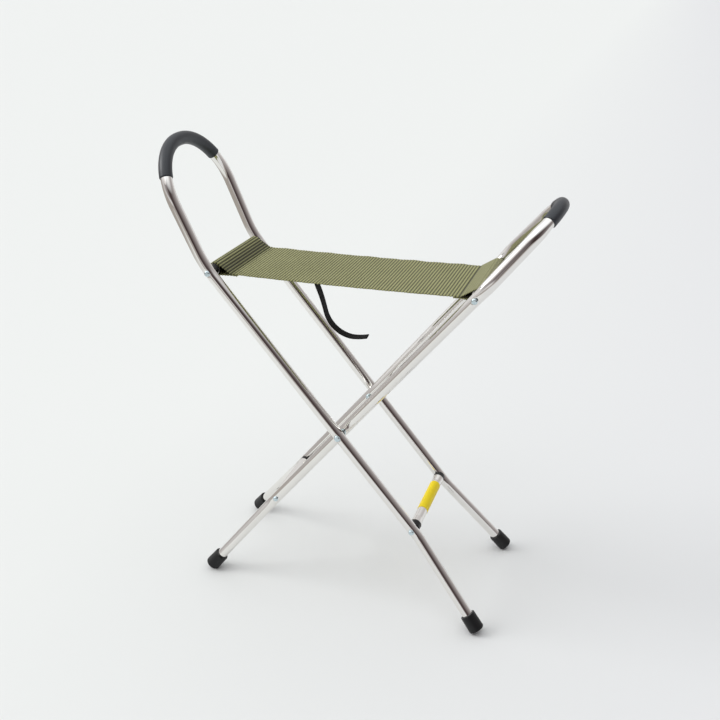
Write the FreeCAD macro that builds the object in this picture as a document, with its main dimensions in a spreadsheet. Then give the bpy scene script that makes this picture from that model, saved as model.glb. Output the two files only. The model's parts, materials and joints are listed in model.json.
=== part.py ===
# A walking stick seat: two crossed frames of bent tube with a cloth seat between their seat rods.
# Millimetres and degrees. X runs from the taller loop towards the shorter one, Y from the front
# legs to the rear legs and Z up. The origin is on the floor, under the middle of the whole.
# "Reach" is a distance from the pivot along a leg, and "across" a distance from the middle plane.
import FreeCAD, Part
import math
import os

import Sketcher

Vector = FreeCAD.Vector
os.makedirs("parts", exist_ok=True)
doc = FreeCAD.newDocument("walking_stick_seat")

SIZES = {
    # both frames
    "leg_tilt": 39.4,
    "tube_radius": 8.0,
    "tube_wall": 1.2,
    "foot_reach": 345.8,
    "foot_flare": 29.5,
    "splay_reach": 190.0,
    "splay_bend": 60.0,
    # outer frame
    "outer_half": 80.0,
    "outer_arch_half": 85.0,
    "outer_side_reach": 308.0,
    "outer_side_turn": 16.0,
    "outer_side_bend": 150.0,
    "outer_loop_height": 169.3,
    "outer_arch_bend": 80.0,
    "outer_seat_reach": 295.0,
    "outer_cross_reach": 176.0,
    "outer_grip_front": 29.0,
    "outer_grip_rear": 34.0,
    # inner frame
    "inner_half": 61.0,
    "inner_seat_half": 80.0,
    "inner_arch_half": 45.9,
    "inner_flare_reach": 20.0,
    "inner_flare_bend": 150.0,
    "inner_arm_reach": 319.0,
    "inner_arm_bend": 80.0,
    "inner_top_reach": 435.5,
    "inner_arch_bend": 61.0,
    "inner_seat_reach": 297.0,
    "inner_cross_reach": 175.0,
    "inner_grip_front": 33.0,
    "inner_grip_rear": 31.0,
    # grips
    "grip_radius": 9.4,
    "grip_bore": 8.05,
    # rubber feet
    "foot_radius": 11.5,
    "foot_rim_radius": 11.0,
    "foot_length": 26.5,
    "foot_base": 6.0,
    "foot_edge": 3.0,
    "foot_rim_edge": 0.8,
    "foot_pressed": 0.5,
    "foot_hollow_radius": 6.5,
    "foot_hollow_depth": 1.0,
    "disc_radius": 7.8,
    "disc_thickness": 1.5,
    # rods, cross tubes and their saddle caps
    "cap_radius": 7.4,
    "cap_collar": 6.5,
    "cap_ear": 3.5,
    "cap_spigot": 12.0,
    "cap_spigot_radius": 6.7,
    "outer_cross_cap_radius": 8.6,
    "outer_cross_mouth": 9.0,
    "outer_cross_flare": 13.0,
    "fit_gap": 0.05,
    "band_radius": 8.3,
    "band_front": -29.0,
    "band_rear": 47.0,
    # screws and pivots
    "screw_radius": 2.0,
    "screw_hole": 2.1,
    "screw_head_radius": 4.2,
    "screw_head_height": 2.6,
    "screw_depth": 26.0,
    "pivot_radius": 3.0,
    "pivot_hole": 3.05,
    "pivot_head_radius": 4.6,
    "pivot_head_height": 3.0,
    "dimple_depth": 0.7,
    "dimple_gap": 0.15,
    "dome_edge": 2.2,
    "washer_radius": 6.5,
    "washer_gap": 0.1,
    "nut_radius": 4.4,
    "nut_height": 3.4,
    "nut_bore_depth": 1.8,
    # cloth seat
    "cloth_front": -64.5,
    "cloth_width": 134.5,
    "cloth_thickness": 1.6,
    "sleeve_bore": 8.1,
    "sleeve_radius": 9.6,
    "seam_inset": 24.0,
    "outer_seam_drop": 5.5,
    "inner_seam_drop": 4.5,
    "cloth_sag": 1.5,
    # strap
    "strap_width": 12.5,
    "strap_thickness": 1.5,
    "strap_across": 3.0,
    "patch_length": 16.0,
    "patch_width": 15.0,
    "patch_thickness": 1.6,
}

sheet = doc.addObject("Spreadsheet::Sheet", "sizes")
for row, (alias, amount) in enumerate(SIZES.items(), start=1):
    sheet.set(f"A{row}", alias)
    sheet.set(f"B{row}", str(amount))
    sheet.setAlias(f"B{row}", alias)
doc.recompute()


class Size:
    """A number with the sheet expression that gives it, so that both are worked out together."""

    def __init__(self, number, text):
        self.number = number
        self.text = text

    def join(self, other, sign, number):
        text = other.text if isinstance(other, Size) else str(other)
        return Size(number, f"({self.text} {sign} {text})")

    def __add__(self, other):
        return self.join(other, "+", self.number + plain(other))

    def __sub__(self, other):
        return self.join(other, "-", self.number - plain(other))

    def __mul__(self, other):
        return self.join(other, "*", self.number * plain(other))


def plain(item):
    return item.number if isinstance(item, Size) else item


def size(alias):
    return Size(float(sheet.get(alias)), f"<<sizes>>.{alias}")


def number(alias):
    return size(alias).number


def bind(item, prop, item_size):
    setattr(item, prop, item_size.number)
    item.setExpression(prop, item_size.text)


# Where things are.

TILT = math.radians(number("leg_tilt"))
FLARE = math.atan(number("foot_flare") / (number("foot_reach") - number("splay_reach")))
FOOT_TILT = math.acos(math.cos(TILT) * math.cos(FLARE))
# The lowest line of a tilted foot is the round of its bottom edge, pressed a little by the weight.
ROUND_INSET = number("foot_radius") - number("foot_edge")
FOOT_END_HEIGHT = (
    ROUND_INSET * math.sin(FOOT_TILT)
    + number("foot_edge") * (1 - math.cos(FOOT_TILT))
    - number("foot_pressed")
)
PIVOT_HEIGHT = FOOT_END_HEIGHT + number("foot_reach") * math.cos(TILT)
LOOP_TILT = TILT - math.radians(number("outer_side_turn"))
# The loops reach this far from the pivot, and the origin is halfway between them.
OUTER_FAR = (
    number("outer_side_reach") * math.sin(TILT)
    + number("outer_loop_height") * math.sin(LOOP_TILT)
)
INNER_FAR = number("inner_top_reach") * math.sin(TILT)
PIVOT = Vector((OUTER_FAR - INNER_FAR) / 2, 0, PIVOT_HEIGHT)
LEAN = {"outer": -1, "inner": 1}
FRONT_REAR = {"front": -1, "rear": 1}
# Turns a body's Z axis to +Y, the way a rear piece points away from the middle plane.
TO_REAR = FreeCAD.Rotation(Vector(1, 0, 0), -90)
TO_FRONT = FreeCAD.Rotation(Vector(1, 0, 0), 90)


def leg_point(frame, reach, across):
    """A point beside a frame's straight legs: reach along them, and across from the middle."""
    up = Vector(LEAN[frame] * math.sin(TILT), 0, math.cos(TILT))
    return PIVOT + up * reach + Vector(0, across, 0)


def loop_point(climb, across):
    """A point of the outer frame's loop, above its side bend."""
    start = leg_point("outer", number("outer_side_reach"), across)
    return start + Vector(-math.sin(LOOP_TILT), 0, math.cos(LOOP_TILT)) * climb


def outer_corners(side):
    """The corners of one leg of the outer frame, foot first, each with its bend radius."""
    half, arch = number("outer_half"), number("outer_arch_half")
    foot = number("foot_reach") - number("foot_base") - number("disc_thickness")
    flare = number("foot_flare") * (foot - number("splay_reach"))
    flare /= number("foot_reach") - number("splay_reach")
    return [
        (leg_point("outer", -foot, side * (half + flare)), 0),
        (leg_point("outer", -number("splay_reach"), side * half), number("splay_bend")),
        (leg_point("outer", number("outer_side_reach"), side * half), number("outer_side_bend")),
        (loop_point(number("outer_loop_height"), side * arch), number("outer_arch_bend")),
    ]


def inner_across(reach):
    """How far the inner frame's leg is from the middle plane, above its splay."""
    slope = (number("inner_seat_half") - number("inner_half")) / (
        number("inner_seat_reach") - number("inner_flare_reach")
    )
    return number("inner_half") + slope * max(reach - number("inner_flare_reach"), 0)


def inner_corners(side):
    half, arm = number("inner_half"), number("inner_arm_reach")
    foot = number("foot_reach") - number("foot_base") - number("disc_thickness")
    flare = number("foot_flare") * (foot - number("splay_reach"))
    flare /= number("foot_reach") - number("splay_reach")
    arch = side * number("inner_arch_half")
    return [
        (leg_point("inner", -foot, side * (half + flare)), 0),
        (leg_point("inner", -number("splay_reach"), side * half), number("splay_bend")),
        (leg_point("inner", number("inner_flare_reach"), side * half), number("inner_flare_bend")),
        (leg_point("inner", arm, side * inner_across(arm)), number("inner_arm_bend")),
        (leg_point("inner", number("inner_top_reach"), arch), number("inner_arch_bend")),
    ]


CORNERS = {"outer": outer_corners, "inner": inner_corners}


def unit(vector):
    return vector * (1 / vector.Length)


def bend(before, corner, after, radius):
    """The arc that rounds a corner: its start, middle, end and centre."""
    back, ahead = unit(before - corner), unit(after - corner)
    half_turn = (math.pi - back.getAngle(ahead)) / 2
    inward = unit(back + ahead)
    centre = corner + inward * (radius / math.cos(half_turn))
    tangent = radius * math.tan(half_turn)
    return corner + back * tangent, centre - inward * radius, corner + ahead * tangent, centre


def bent_wire(corners):
    """Straight runs joined by tangent arcs, through corners that each have a bend radius."""
    edges = []
    here = corners[0][0]
    for index in range(1, len(corners) - 1):
        corner, radius = corners[index]
        start, middle, end, _ = bend(corners[index - 1][0], corner, corners[index + 1][0], radius)
        edges.append(Part.LineSegment(here, start).toShape())
        edges.append(Part.Arc(start, middle, end).toShape())
        here = end
    edges.append(Part.LineSegment(here, corners[-1][0]).toShape())
    return Part.Wire(edges)


def path_object(name, wire):
    path = doc.addObject("Part::Feature", name)
    path.Shape = wire
    return path


def swept(name, path, radius):
    """A round bar along a path, its radius bound to the sheet."""
    first = path.Shape.Edges[0]
    start = first.valueAt(first.FirstParameter)
    tangent = first.tangentAt(first.FirstParameter)
    ring = doc.addObject("Part::Circle", f"{name}_ring")
    bind(ring, "Radius", radius)
    ring.Placement = FreeCAD.Placement(start, FreeCAD.Rotation(Vector(0, 0, 1), tangent))
    sweep = doc.addObject("Part::Sweep", name)
    sweep.Sections = [ring]
    sweep.Spine = (path, [f"Edge{index + 1}" for index in range(len(path.Shape.Edges))])
    sweep.Solid = True
    sweep.Frenet = False
    return sweep


def cut(name, base, tool):
    result = doc.addObject("Part::Cut", name)
    result.Base = base
    result.Tool = tool
    return result


def fused(name, pieces):
    result = doc.addObject("Part::MultiFuse", name)
    result.Shapes = pieces
    return result


def cross_bar(name, centre, radius, low, high):
    """A cylinder along Y, from low to high, through a point."""
    bar = doc.addObject("Part::Cylinder", name)
    bind(bar, "Radius", radius)
    bar.Height = high - low
    bar.Placement = FreeCAD.Placement(Vector(centre.x, low, centre.z), TO_REAR)
    return bar


parts = {}


def keep(node, item):
    """Makes an object one of the sub-parts that are written out."""
    item.Label = node
    parts[node] = item
    return item


def turned(name, outline, rounds, placement):
    """A body of revolution about its own Z: outline is (radius, height) sizes, none negative.

    rounds lists (radius, height, round size) for the circular edges that are rounded off.
    """
    body = doc.addObject("PartDesign::Body", name)
    sketch = body.newObject("Sketcher::SketchObject", f"{name}_outline")
    plane = [item for item in body.Origin.OriginFeatures if item.Role == "XZ_Plane"][0]
    sketch.AttachmentSupport = (plane, [""])
    sketch.MapMode = "FlatFace"
    spots = [Vector(plain(radius), plain(height), 0) for radius, height in outline]
    count = len(spots)
    for index in range(count):
        sketch.addGeometry(Part.LineSegment(spots[index], spots[(index + 1) % count]), False)
    for index in range(count):
        sketch.addConstraint(Sketcher.Constraint("Coincident", index, 2, (index + 1) % count, 1))
    for index, (radius, height) in enumerate(outline):
        for kind, axis, item in (("DistanceX", -2, radius), ("DistanceY", -1, height)):
            if plain(item) == 0:
                sketch.addConstraint(Sketcher.Constraint("PointOnObject", index, 1, axis))
                continue
            place = sketch.addConstraint(Sketcher.Constraint(kind, -1, 1, index, 1, plain(item)))
            if isinstance(item, Size):
                sketch.setExpression(f"Constraints[{place}]", item.text)
    turn = body.newObject("PartDesign::Revolution", f"{name}_turn")
    turn.Profile = sketch
    turn.ReferenceAxis = (sketch, ["V_Axis"])
    turn.Angle = 360
    doc.recompute()
    for index, (radius, height, amount) in enumerate(rounds):
        sharp = body.Tip
        edge = circle_edge(sharp.Shape, plain(radius), plain(height))
        smooth = body.newObject("PartDesign::Fillet", f"{name}_round{index}")
        smooth.Base = (sharp, [edge])
        bind(smooth, "Radius", amount)
        doc.recompute()
    body.Placement = placement
    return body


def circle_edge(shape, radius, height):
    """The name of the circular edge at a radius and height."""
    near = 0.01
    for index, edge in enumerate(shape.Edges):
        curve = edge.Curve
        if not isinstance(curve, Part.Circle):
            continue
        if abs(curve.Radius - radius) < near and abs(curve.Center.z - height) < near:
            return f"Edge{index + 1}"
    raise ValueError(f"no round edge of radius {radius} at {height}")


# The frames' paths, and the bars that cut the tube's bore and the caps' saddles.

paths = {}
saddles = {}
for frame, corners in CORNERS.items():
    whole = corners(-1) + list(reversed(corners(1)))
    paths[frame] = path_object(f"{frame}_path", bent_wire(whole))
    saddle_radius = size("tube_radius") + size("fit_gap")
    saddles[frame] = swept(f"{frame}_saddle_bar", paths[frame], saddle_radius)

SEAT = {
    "outer": leg_point("outer", number("outer_seat_reach"), 0),
    "inner": leg_point("inner", number("inner_seat_reach"), 0),
}
CROSS = {
    "outer": leg_point("outer", -number("outer_cross_reach"), 0),
    "inner": leg_point("inner", -number("inner_cross_reach"), 0),
}
SEAT_HALF = {"outer": size("outer_half"), "inner": size("inner_seat_half")}
CROSS_HALF = {"outer": size("outer_half"), "inner": size("inner_half")}
HEAD_SEAT = number("tube_radius") - number("dimple_depth")


def screw_places(frame):
    """Each row of screws across a frame: its name, its centre line and its legs' distance."""
    return [
        ("seat", SEAT[frame], SEAT_HALF[frame]),
        ("cross", CROSS[frame], CROSS_HALF[frame]),
    ]


def frame_tube(frame):
    """The bent tube with its bore, its screw and bolt holes and the dimples under their heads."""
    bar = swept(f"{frame}_bar", paths[frame], size("tube_radius"))
    bore = swept(f"{frame}_bore", paths[frame], size("tube_radius") - size("tube_wall"))
    tube = cut(f"{frame}_tube", bar, bore)
    half = CROSS_HALF[frame].number
    beyond = number("tube_radius") * 2
    tools = [cross_bar(f"{frame}_pivot_hole", PIVOT, size("pivot_hole"), -half - beyond, half + beyond)]
    for row, centre, row_half in screw_places(frame):
        reach = row_half.number + beyond
        tools.append(cross_bar(f"{frame}_{row}_hole", centre, size("screw_hole"), -reach, reach))
        seat = row_half.number + HEAD_SEAT
        wide = size("screw_head_radius") + size("dimple_gap")
        tools.append(cross_bar(f"{frame}_{row}_dimple_front", centre, wide, -reach, -seat))
        tools.append(cross_bar(f"{frame}_{row}_dimple_rear", centre, wide, seat, reach))
    if frame == "outer":
        wide = size("pivot_head_radius") + size("dimple_gap")
        seat = half + HEAD_SEAT
        tools.append(cross_bar("outer_pivot_dimple_front", PIVOT, wide, -half - beyond, -seat))
        tools.append(cross_bar("outer_pivot_dimple_rear", PIVOT, wide, seat, half + beyond))
    else:
        wide = size("nut_radius") + size("dimple_gap")
        seat = half - HEAD_SEAT
        tools.append(cross_bar("inner_pivot_dimples", PIVOT, wide, -seat, seat))
    drilled = cut(f"{frame}_drilled", tube, fused(f"{frame}_holes", tools))
    return keep(f"{frame}_frame_tube", drilled)


def arch_wire(frame):
    """The middle of a frame's arch, from a point round its front corner to one round its rear."""
    pieces = []
    ends = []
    for where, side in FRONT_REAR.items():
        corners = CORNERS[frame](side)
        leg, corner = corners[-2][0], corners[-1][0]
        across = CORNERS[frame](-side)[-1][0]
        start, _, end, centre = bend(leg, corner, across, corners[-1][1])
        whole = (start - centre).getAngle(end - centre)
        axis = unit((start - centre).cross(end - centre))

        def spot(angle):
            turn = FreeCAD.Rotation(axis, math.degrees(angle))
            return centre + turn.multVec(start - centre)

        skip = math.radians(number(f"{frame}_grip_{where}"))
        pieces.append(Part.Arc(spot(skip), spot((skip + whole) / 2), end).toShape())
        ends.append(end)
    pieces.insert(1, Part.LineSegment(ends[0], ends[1]).toShape())
    return Part.Wire(Part.__sortEdges__(pieces))


def grip(frame):
    path = path_object(f"{frame}_grip_path", arch_wire(frame))
    skin = swept(f"{frame}_grip_skin", path, size("grip_radius"))
    bore = swept(f"{frame}_grip_bore", path, size("grip_bore"))
    return keep(f"{frame}_grip", cut(f"{frame}_grip_cut", skin, bore))


def foot_placement(frame, side):
    """Puts a foot's Z axis up its splayed leg, from the middle of its bottom."""
    half = CROSS_HALF[frame].number
    end = leg_point(frame, -number("foot_reach"), side * (half + number("foot_flare")))
    bend_at = leg_point(frame, -number("splay_reach"), side * half)
    turn = FreeCAD.Rotation(Vector(0, 0, 1), bend_at - end)
    return FreeCAD.Placement(end, turn)


def foot(frame, where):
    """A rubber foot: a cup over the tube's end, hollowed below and pressed flat by the floor."""
    name = f"{frame}_foot_{where}"
    place = foot_placement(frame, FRONT_REAR[where])
    outline = [
        (size("foot_hollow_radius"), Size(0, "0")),
        (size("foot_radius"), Size(0, "0")),
        (size("foot_rim_radius"), size("foot_length")),
        (size("grip_bore"), size("foot_length")),
        (size("grip_bore"), size("foot_base")),
        (Size(0, "0"), size("foot_base")),
        (Size(0, "0"), size("foot_hollow_depth")),
        (size("foot_hollow_radius"), size("foot_hollow_depth")),
    ]
    rounds = [
        (number("foot_radius"), 0, size("foot_edge")),
        (number("foot_rim_radius"), number("foot_length"), size("foot_rim_edge")),
    ]
    rubber = turned(f"{name}_rubber", outline, rounds, place)
    floor = doc.addObject("Part::Box", f"{name}_floor")
    deep = number("foot_radius") * 4
    floor.Length = deep
    floor.Width = deep
    floor.Height = deep
    floor.Placement.Base = Vector(place.Base.x - deep / 2, place.Base.y - deep / 2, -deep)
    keep(name, cut(f"{name}_cut", rubber, floor))
    outline = [
        (Size(0, "0"), Size(0, "0")),
        (size("disc_radius"), Size(0, "0")),
        (size("disc_radius"), size("disc_thickness")),
        (Size(0, "0"), size("disc_thickness")),
    ]
    lift = FreeCAD.Placement(Vector(0, 0, number("foot_base")), FreeCAD.Rotation())
    keep(f"{frame}_foot_disc_{where}", turned(f"{name}_disc", outline, [], place * lift))


def tube_between(name, centre, radius, bore, low, high):
    outside = cross_bar(f"{name}_outside", centre, radius, low, high)
    inside = cross_bar(f"{name}_inside", centre, bore, low, high)
    return keep(name, cut(f"{name}_cut", outside, inside))


def rod_end(half):
    """How far a rod's end is from the middle plane, where its cap's collar begins."""
    return half - size("tube_radius") - size("cap_collar")


def cap(frame, row, where, centre, half):
    """A saddle cap: a spigot in the rod's end, and a collar hollowed by the leg that it meets."""
    name = f"{frame}_{row}_cap_{where}"
    side = FRONT_REAR[where]
    radius = size("outer_cross_cap_radius" if (frame, row) == ("outer", "cross") else "cap_radius")
    outline = [
        (size("screw_radius"), Size(0, "0")),
        (size("cap_spigot_radius"), Size(0, "0")),
        (size("cap_spigot_radius"), size("cap_spigot")),
        (radius, size("cap_spigot")),
        (radius, size("cap_spigot") + size("cap_collar") + size("cap_ear")),
        (size("screw_radius"), size("cap_spigot") + size("cap_collar") + size("cap_ear")),
    ]
    start = rod_end(half).number - number("cap_spigot")
    turn = TO_REAR if side > 0 else TO_FRONT
    place = FreeCAD.Placement(Vector(centre.x, side * start, centre.z), turn)
    blank = turned(f"{name}_blank", outline, [], place)
    keep(name, cut(f"{name}_cut", blank, saddles[frame]))


def flared_tube(name, centre, end):
    """A cross tube that opens out to a wider mouth at each end."""
    wall, mouth, flare = size("tube_wall"), size("outer_cross_mouth"), size("outer_cross_flare")
    radius, length = size("tube_radius"), end * 2
    outside = [(mouth, Size(0, "0")), (radius, flare), (radius, length - flare), (mouth, length)]
    inside = [(across - wall, height) for across, height in reversed(outside)]
    place = FreeCAD.Placement(Vector(centre.x, -end.number, centre.z), TO_REAR)
    return keep(name, turned(f"{name}_turned", outside + inside, [], place))


def keep_screw(name, centre, half, where, head, shank):
    """A domed screw or bolt: the shank's length is from its tip to under its head."""
    side = FRONT_REAR[where]
    head_radius, head_height = head
    shank_radius, depth = shank
    outline = [
        (Size(0, "0"), Size(0, "0")),
        (shank_radius, Size(0, "0")),
        (shank_radius, depth),
        (head_radius, depth),
        (head_radius, depth + head_height),
        (Size(0, "0"), depth + head_height),
    ]
    round_edge = [(head_radius, depth + head_height, size("dome_edge"))]
    start = half + HEAD_SEAT - depth.number
    turn = TO_REAR if side > 0 else TO_FRONT
    place = FreeCAD.Placement(Vector(centre.x, side * start, centre.z), turn)
    keep(name, turned(name, outline, round_edge, place))


for frame in CORNERS:
    frame_tube(frame)
    grip(frame)
    for where in FRONT_REAR:
        foot(frame, where)
    for row, centre, half in screw_places(frame):
        rod = "seat_rod" if row == "seat" else "cross_tube"
        inside = size("tube_radius") - size("tube_wall")
        end = rod_end(half)
        if (frame, row) == ("outer", "cross"):
            flared_tube(f"{frame}_{rod}", centre, end)
        else:
            low, high = -end.number, end.number
            tube_between(f"{frame}_{rod}", centre, size("tube_radius"), inside, low, high)
        for where in FRONT_REAR:
            cap(frame, row, where, centre, half)
            head = (size("screw_head_radius"), size("screw_head_height"))
            shank = (size("screw_radius"), size("screw_depth"))
            keep_screw(f"{frame}_{row}_screw_{where}", centre, half.number, where, head, shank)

tube_between(
    "blank_yellow_band",
    CROSS["outer"],
    size("band_radius"),
    size("tube_radius") + size("fit_gap"),
    number("band_front"),
    number("band_rear"),
)

# The pivots: a bolt through both frames' legs, a washer between them and a domed nut inside.

inner_face = number("inner_half") - HEAD_SEAT
for where, side in FRONT_REAR.items():
    head = (size("pivot_head_radius"), size("pivot_head_height"))
    depth = size("outer_half") - size("inner_half") + size("tube_radius") * 2
    depth = depth - size("dimple_depth") * 2 + size("nut_bore_depth")
    shank = (size("pivot_radius"), depth)
    keep_screw(f"pivot_bolt_{where}", PIVOT, number("outer_half"), where, head, shank)
    low = number("inner_half") + number("tube_radius") + number("washer_gap")
    high = number("outer_half") - number("tube_radius") - number("washer_gap")
    ends = sorted((side * low, side * high))
    tube_between(f"pivot_washer_{where}", PIVOT, size("washer_radius"), size("pivot_hole"), *ends)
    outline = [
        (size("pivot_hole"), Size(0, "0")),
        (size("nut_radius"), Size(0, "0")),
        (size("nut_radius"), size("nut_height")),
        (Size(0, "0"), size("nut_height")),
        (Size(0, "0"), size("nut_bore_depth") + size("fit_gap")),
        (size("pivot_hole"), size("nut_bore_depth") + size("fit_gap")),
    ]
    rounds = [(number("nut_radius"), number("nut_height"), size("dome_edge"))]
    turn = TO_FRONT if side > 0 else TO_REAR
    place = FreeCAD.Placement(PIVOT + Vector(0, side * inner_face, 0), turn)
    keep(f"pivot_nut_{where}", turned(f"pivot_nut_{where}", outline, rounds, place))

# The cloth seat: a sleeve round each rod, and the panel with the sewn tunnels that lead to them.

cloth_rear = number("cloth_front") + number("cloth_width")
for frame in CORNERS:
    tube_between(
        f"{frame}_seat_sleeve",
        SEAT[frame],
        size("sleeve_radius"),
        size("sleeve_bore"),
        number("cloth_front"),
        cloth_rear,
    )


def flat(point):
    return Vector(point.x, point.z, 0)


def tangent_point(centre, radius, spot, side):
    """Where the line from a spot touches a circle, over it (side 1) or under it (side -1)."""
    away = spot - centre
    turn = math.acos(radius / away.Length)
    angle = math.atan2(away.y, away.x)
    candidates = [
        centre + Vector(math.cos(angle + sign * turn), math.sin(angle + sign * turn), 0) * radius
        for sign in (-1, 1)
    ]
    candidates.sort(key=lambda point: side * point.y)
    return candidates[-1]


def panel_outline():
    """The panel's side view: two sagging faces that open out to the sleeves at both ends."""
    radius = number("sleeve_radius") + number("fit_gap")
    half = number("cloth_thickness") / 2
    rods = [flat(SEAT["outer"]), flat(SEAT["inner"])]
    inset = Vector(number("seam_inset"), 0, 0)
    drops = [Vector(0, number(f"{frame}_seam_drop"), 0) for frame in CORNERS]
    seams = [rods[0] + inset - drops[0], rods[1] - inset - drops[1]]
    middle = (seams[0] + seams[1]) * 0.5 - Vector(0, number("cloth_sag"), 0)
    faces = {}
    for side in (1, -1):
        lift = Vector(0, side * half, 0)
        ends = [tangent_point(rods[i], radius, seams[i] + lift, side) for i in (0, 1)]
        faces[side] = (ends[0], seams[0] + lift, middle + lift, seams[1] + lift, ends[1])
    top, bottom = faces[1], faces[-1]
    nearest = [rods[i] + unit(seams[i] - rods[i]) * radius for i in (0, 1)]
    return [
        Part.LineSegment(top[0], top[1]),
        Part.Arc(top[1], top[2], top[3]),
        Part.LineSegment(top[3], top[4]),
        Part.Arc(top[4], nearest[1], bottom[4]),
        Part.LineSegment(bottom[4], bottom[3]),
        Part.Arc(bottom[3], bottom[2], bottom[1]),
        Part.LineSegment(bottom[1], bottom[0]),
        Part.Arc(bottom[0], nearest[0], top[0]),
    ]


def padded_body(name, outline, width, rear):
    """A side view in X and Z made as wide as a size, ending at rear in Y."""
    body = doc.addObject("PartDesign::Body", name)
    sketch = body.newObject("Sketcher::SketchObject", f"{name}_outline")
    plane = [item for item in body.Origin.OriginFeatures if item.Role == "XZ_Plane"][0]
    sketch.AttachmentSupport = (plane, [""])
    sketch.MapMode = "FlatFace"
    for curve in outline:
        sketch.addGeometry(curve, False)
    pad = body.newObject("PartDesign::Pad", f"{name}_pad")
    pad.Profile = sketch
    bind(pad, "Length", width)
    doc.recompute()
    body.Placement.Base = Vector(0, rear - pad.Shape.BoundBox.YMax, 0)
    return keep(name, body)


outline = panel_outline()
padded_body("seat_panel", outline, size("cloth_width"), cloth_rear)

# The strap under the seat: a sewn patch, and webbing that hangs from it and curls forward.

# The route's points are measured from the pivot bolts in X and from the floor in Z.
STRAP_ROUTE = [
    (-66.0, 489.9),
    (-61.6, 471.9),
    (-54.8, 454.7),
    (-49.9, 437.6),
    (-46.0, 420.4),
    (-35.6, 405.6),
    (-20.4, 395.9),
    (-1.9, 392.7),
    (16.4, 397.0),
]
under_arc = outline[5].toShape()
patch_half = number("patch_length") / 2
root_x = PIVOT.x + STRAP_ROUTE[0][0]


def height_under(x):
    """The height of the panel's under face at x."""
    line = Part.LineSegment(Vector(x, 0, 0), Vector(x, 2 * PIVOT_HEIGHT, 0)).toShape()
    return line.distToShape(under_arc)[1][0][0].y


patch_top = min(height_under(root_x + step * patch_half) for step in (-1, 1)) - number("fit_gap")
patch = doc.addObject("Part::Box", "strap_patch")
bind(patch, "Length", size("patch_length"))
bind(patch, "Width", size("patch_width"))
bind(patch, "Height", size("patch_thickness"))
patch.Placement.Base = Vector(
    root_x - patch_half,
    number("strap_across") - number("patch_width") / 2,
    patch_top - number("patch_thickness"),
)
keep("strap_patch", patch)

route = [Vector(PIVOT.x + x, number("strap_across"), height) for x, height in STRAP_ROUTE]
route[0].z = patch_top - number("patch_thickness")
strap_corners = [(route[0], 0)]
for before, corner, after in zip(route, route[1:], route[2:]):
    shorter = min((corner - before).Length, (after - corner).Length)
    half_turn = (math.pi - (before - corner).getAngle(after - corner)) / 2
    strap_corners.append((corner, 0.45 * shorter / math.tan(half_turn)))
strap_corners.append((route[-1], 0))
print("strap radii", [round(radius, 1) for _, radius in strap_corners[1:-1]])
strap_path = path_object("strap_path", bent_wire(strap_corners))
half_width, half_thickness = number("strap_width") / 2, number("strap_thickness") / 2
along = unit(route[1] - route[0])
thick = along.cross(Vector(0, 1, 0))
section = path_object(
    "strap_section",
    Part.makePolygon(
        [
            route[0] + Vector(0, across * half_width, 0) + thick * (through * half_thickness)
            for across, through in ((-1, -1), (1, -1), (1, 1), (-1, 1), (-1, -1))
        ]
    ),
)
strap_sweep = doc.addObject("Part::Sweep", "strap_sweep")
strap_sweep.Sections = [section]
strap_sweep.Spine = (strap_path, [f"Edge{i + 1}" for i in range(len(strap_path.Shape.Edges))])
strap_sweep.Solid = True
strap_sweep.Frenet = False
keep("closure_strap", strap_sweep)

doc.recompute()

strap_length = strap_path.Shape.Length
expected = strap_length * number("strap_width") * number("strap_thickness")
print("strap length", round(strap_length, 1), "section times length", round(expected, 1))
print("strap volume", round(strap_sweep.Shape.Volume, 1))

for item in doc.Objects:
    if "Invalid" in item.State or "Error" in item.State:
        raise RuntimeError(f"{item.Name} failed: {item.State}")
for node, item in parts.items():
    shape = item.Shape
    if shape.isNull() or not shape.isValid() or not shape.Solids:
        raise RuntimeError(f"{node} has no valid solid")
for node, item in parts.items():
    item.Shape.exportStep(f"parts/{node}.step")
    print(node, len(item.Shape.Solids), round(item.Shape.Volume), item.Shape.BoundBox)
print(len(parts), "parts; pivot at", round(PIVOT.x, 4), "and", round(PIVOT.z, 4))
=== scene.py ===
# The dressed walking stick seat: smooth tubes and grips, the sewn cloth sling, its strap,
# finishes, floor, light and camera. Metres throughout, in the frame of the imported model: X from
# the tall loop to the short one, Y from the front legs to the rear legs, Z up from the floor.
import json
import math

import bpy
import numpy as np
from mathutils import Matrix, Vector


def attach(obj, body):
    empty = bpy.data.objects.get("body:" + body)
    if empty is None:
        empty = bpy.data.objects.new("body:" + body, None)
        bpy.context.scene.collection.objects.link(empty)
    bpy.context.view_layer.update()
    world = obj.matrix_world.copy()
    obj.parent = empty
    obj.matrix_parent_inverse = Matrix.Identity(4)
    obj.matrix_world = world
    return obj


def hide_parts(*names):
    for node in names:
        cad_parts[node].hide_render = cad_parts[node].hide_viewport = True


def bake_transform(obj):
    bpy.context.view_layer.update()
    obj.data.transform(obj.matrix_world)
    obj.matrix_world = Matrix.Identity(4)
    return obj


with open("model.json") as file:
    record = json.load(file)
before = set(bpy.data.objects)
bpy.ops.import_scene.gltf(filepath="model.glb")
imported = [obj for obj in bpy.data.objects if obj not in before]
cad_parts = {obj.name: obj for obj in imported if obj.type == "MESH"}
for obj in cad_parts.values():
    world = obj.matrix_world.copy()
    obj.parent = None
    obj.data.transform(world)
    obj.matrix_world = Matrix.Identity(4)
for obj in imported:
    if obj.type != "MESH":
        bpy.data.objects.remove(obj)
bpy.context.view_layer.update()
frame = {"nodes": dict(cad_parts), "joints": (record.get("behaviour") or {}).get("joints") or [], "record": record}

# Sizes that the solids also have.
PIVOT = np.array(frame["joints"][0]["pos_m"])
LEG_TILT = math.radians(39.4)
LOOP_TILT = LEG_TILT - math.radians(16.0)
LEAN = {"outer": -1.0, "inner": 1.0}
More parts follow.
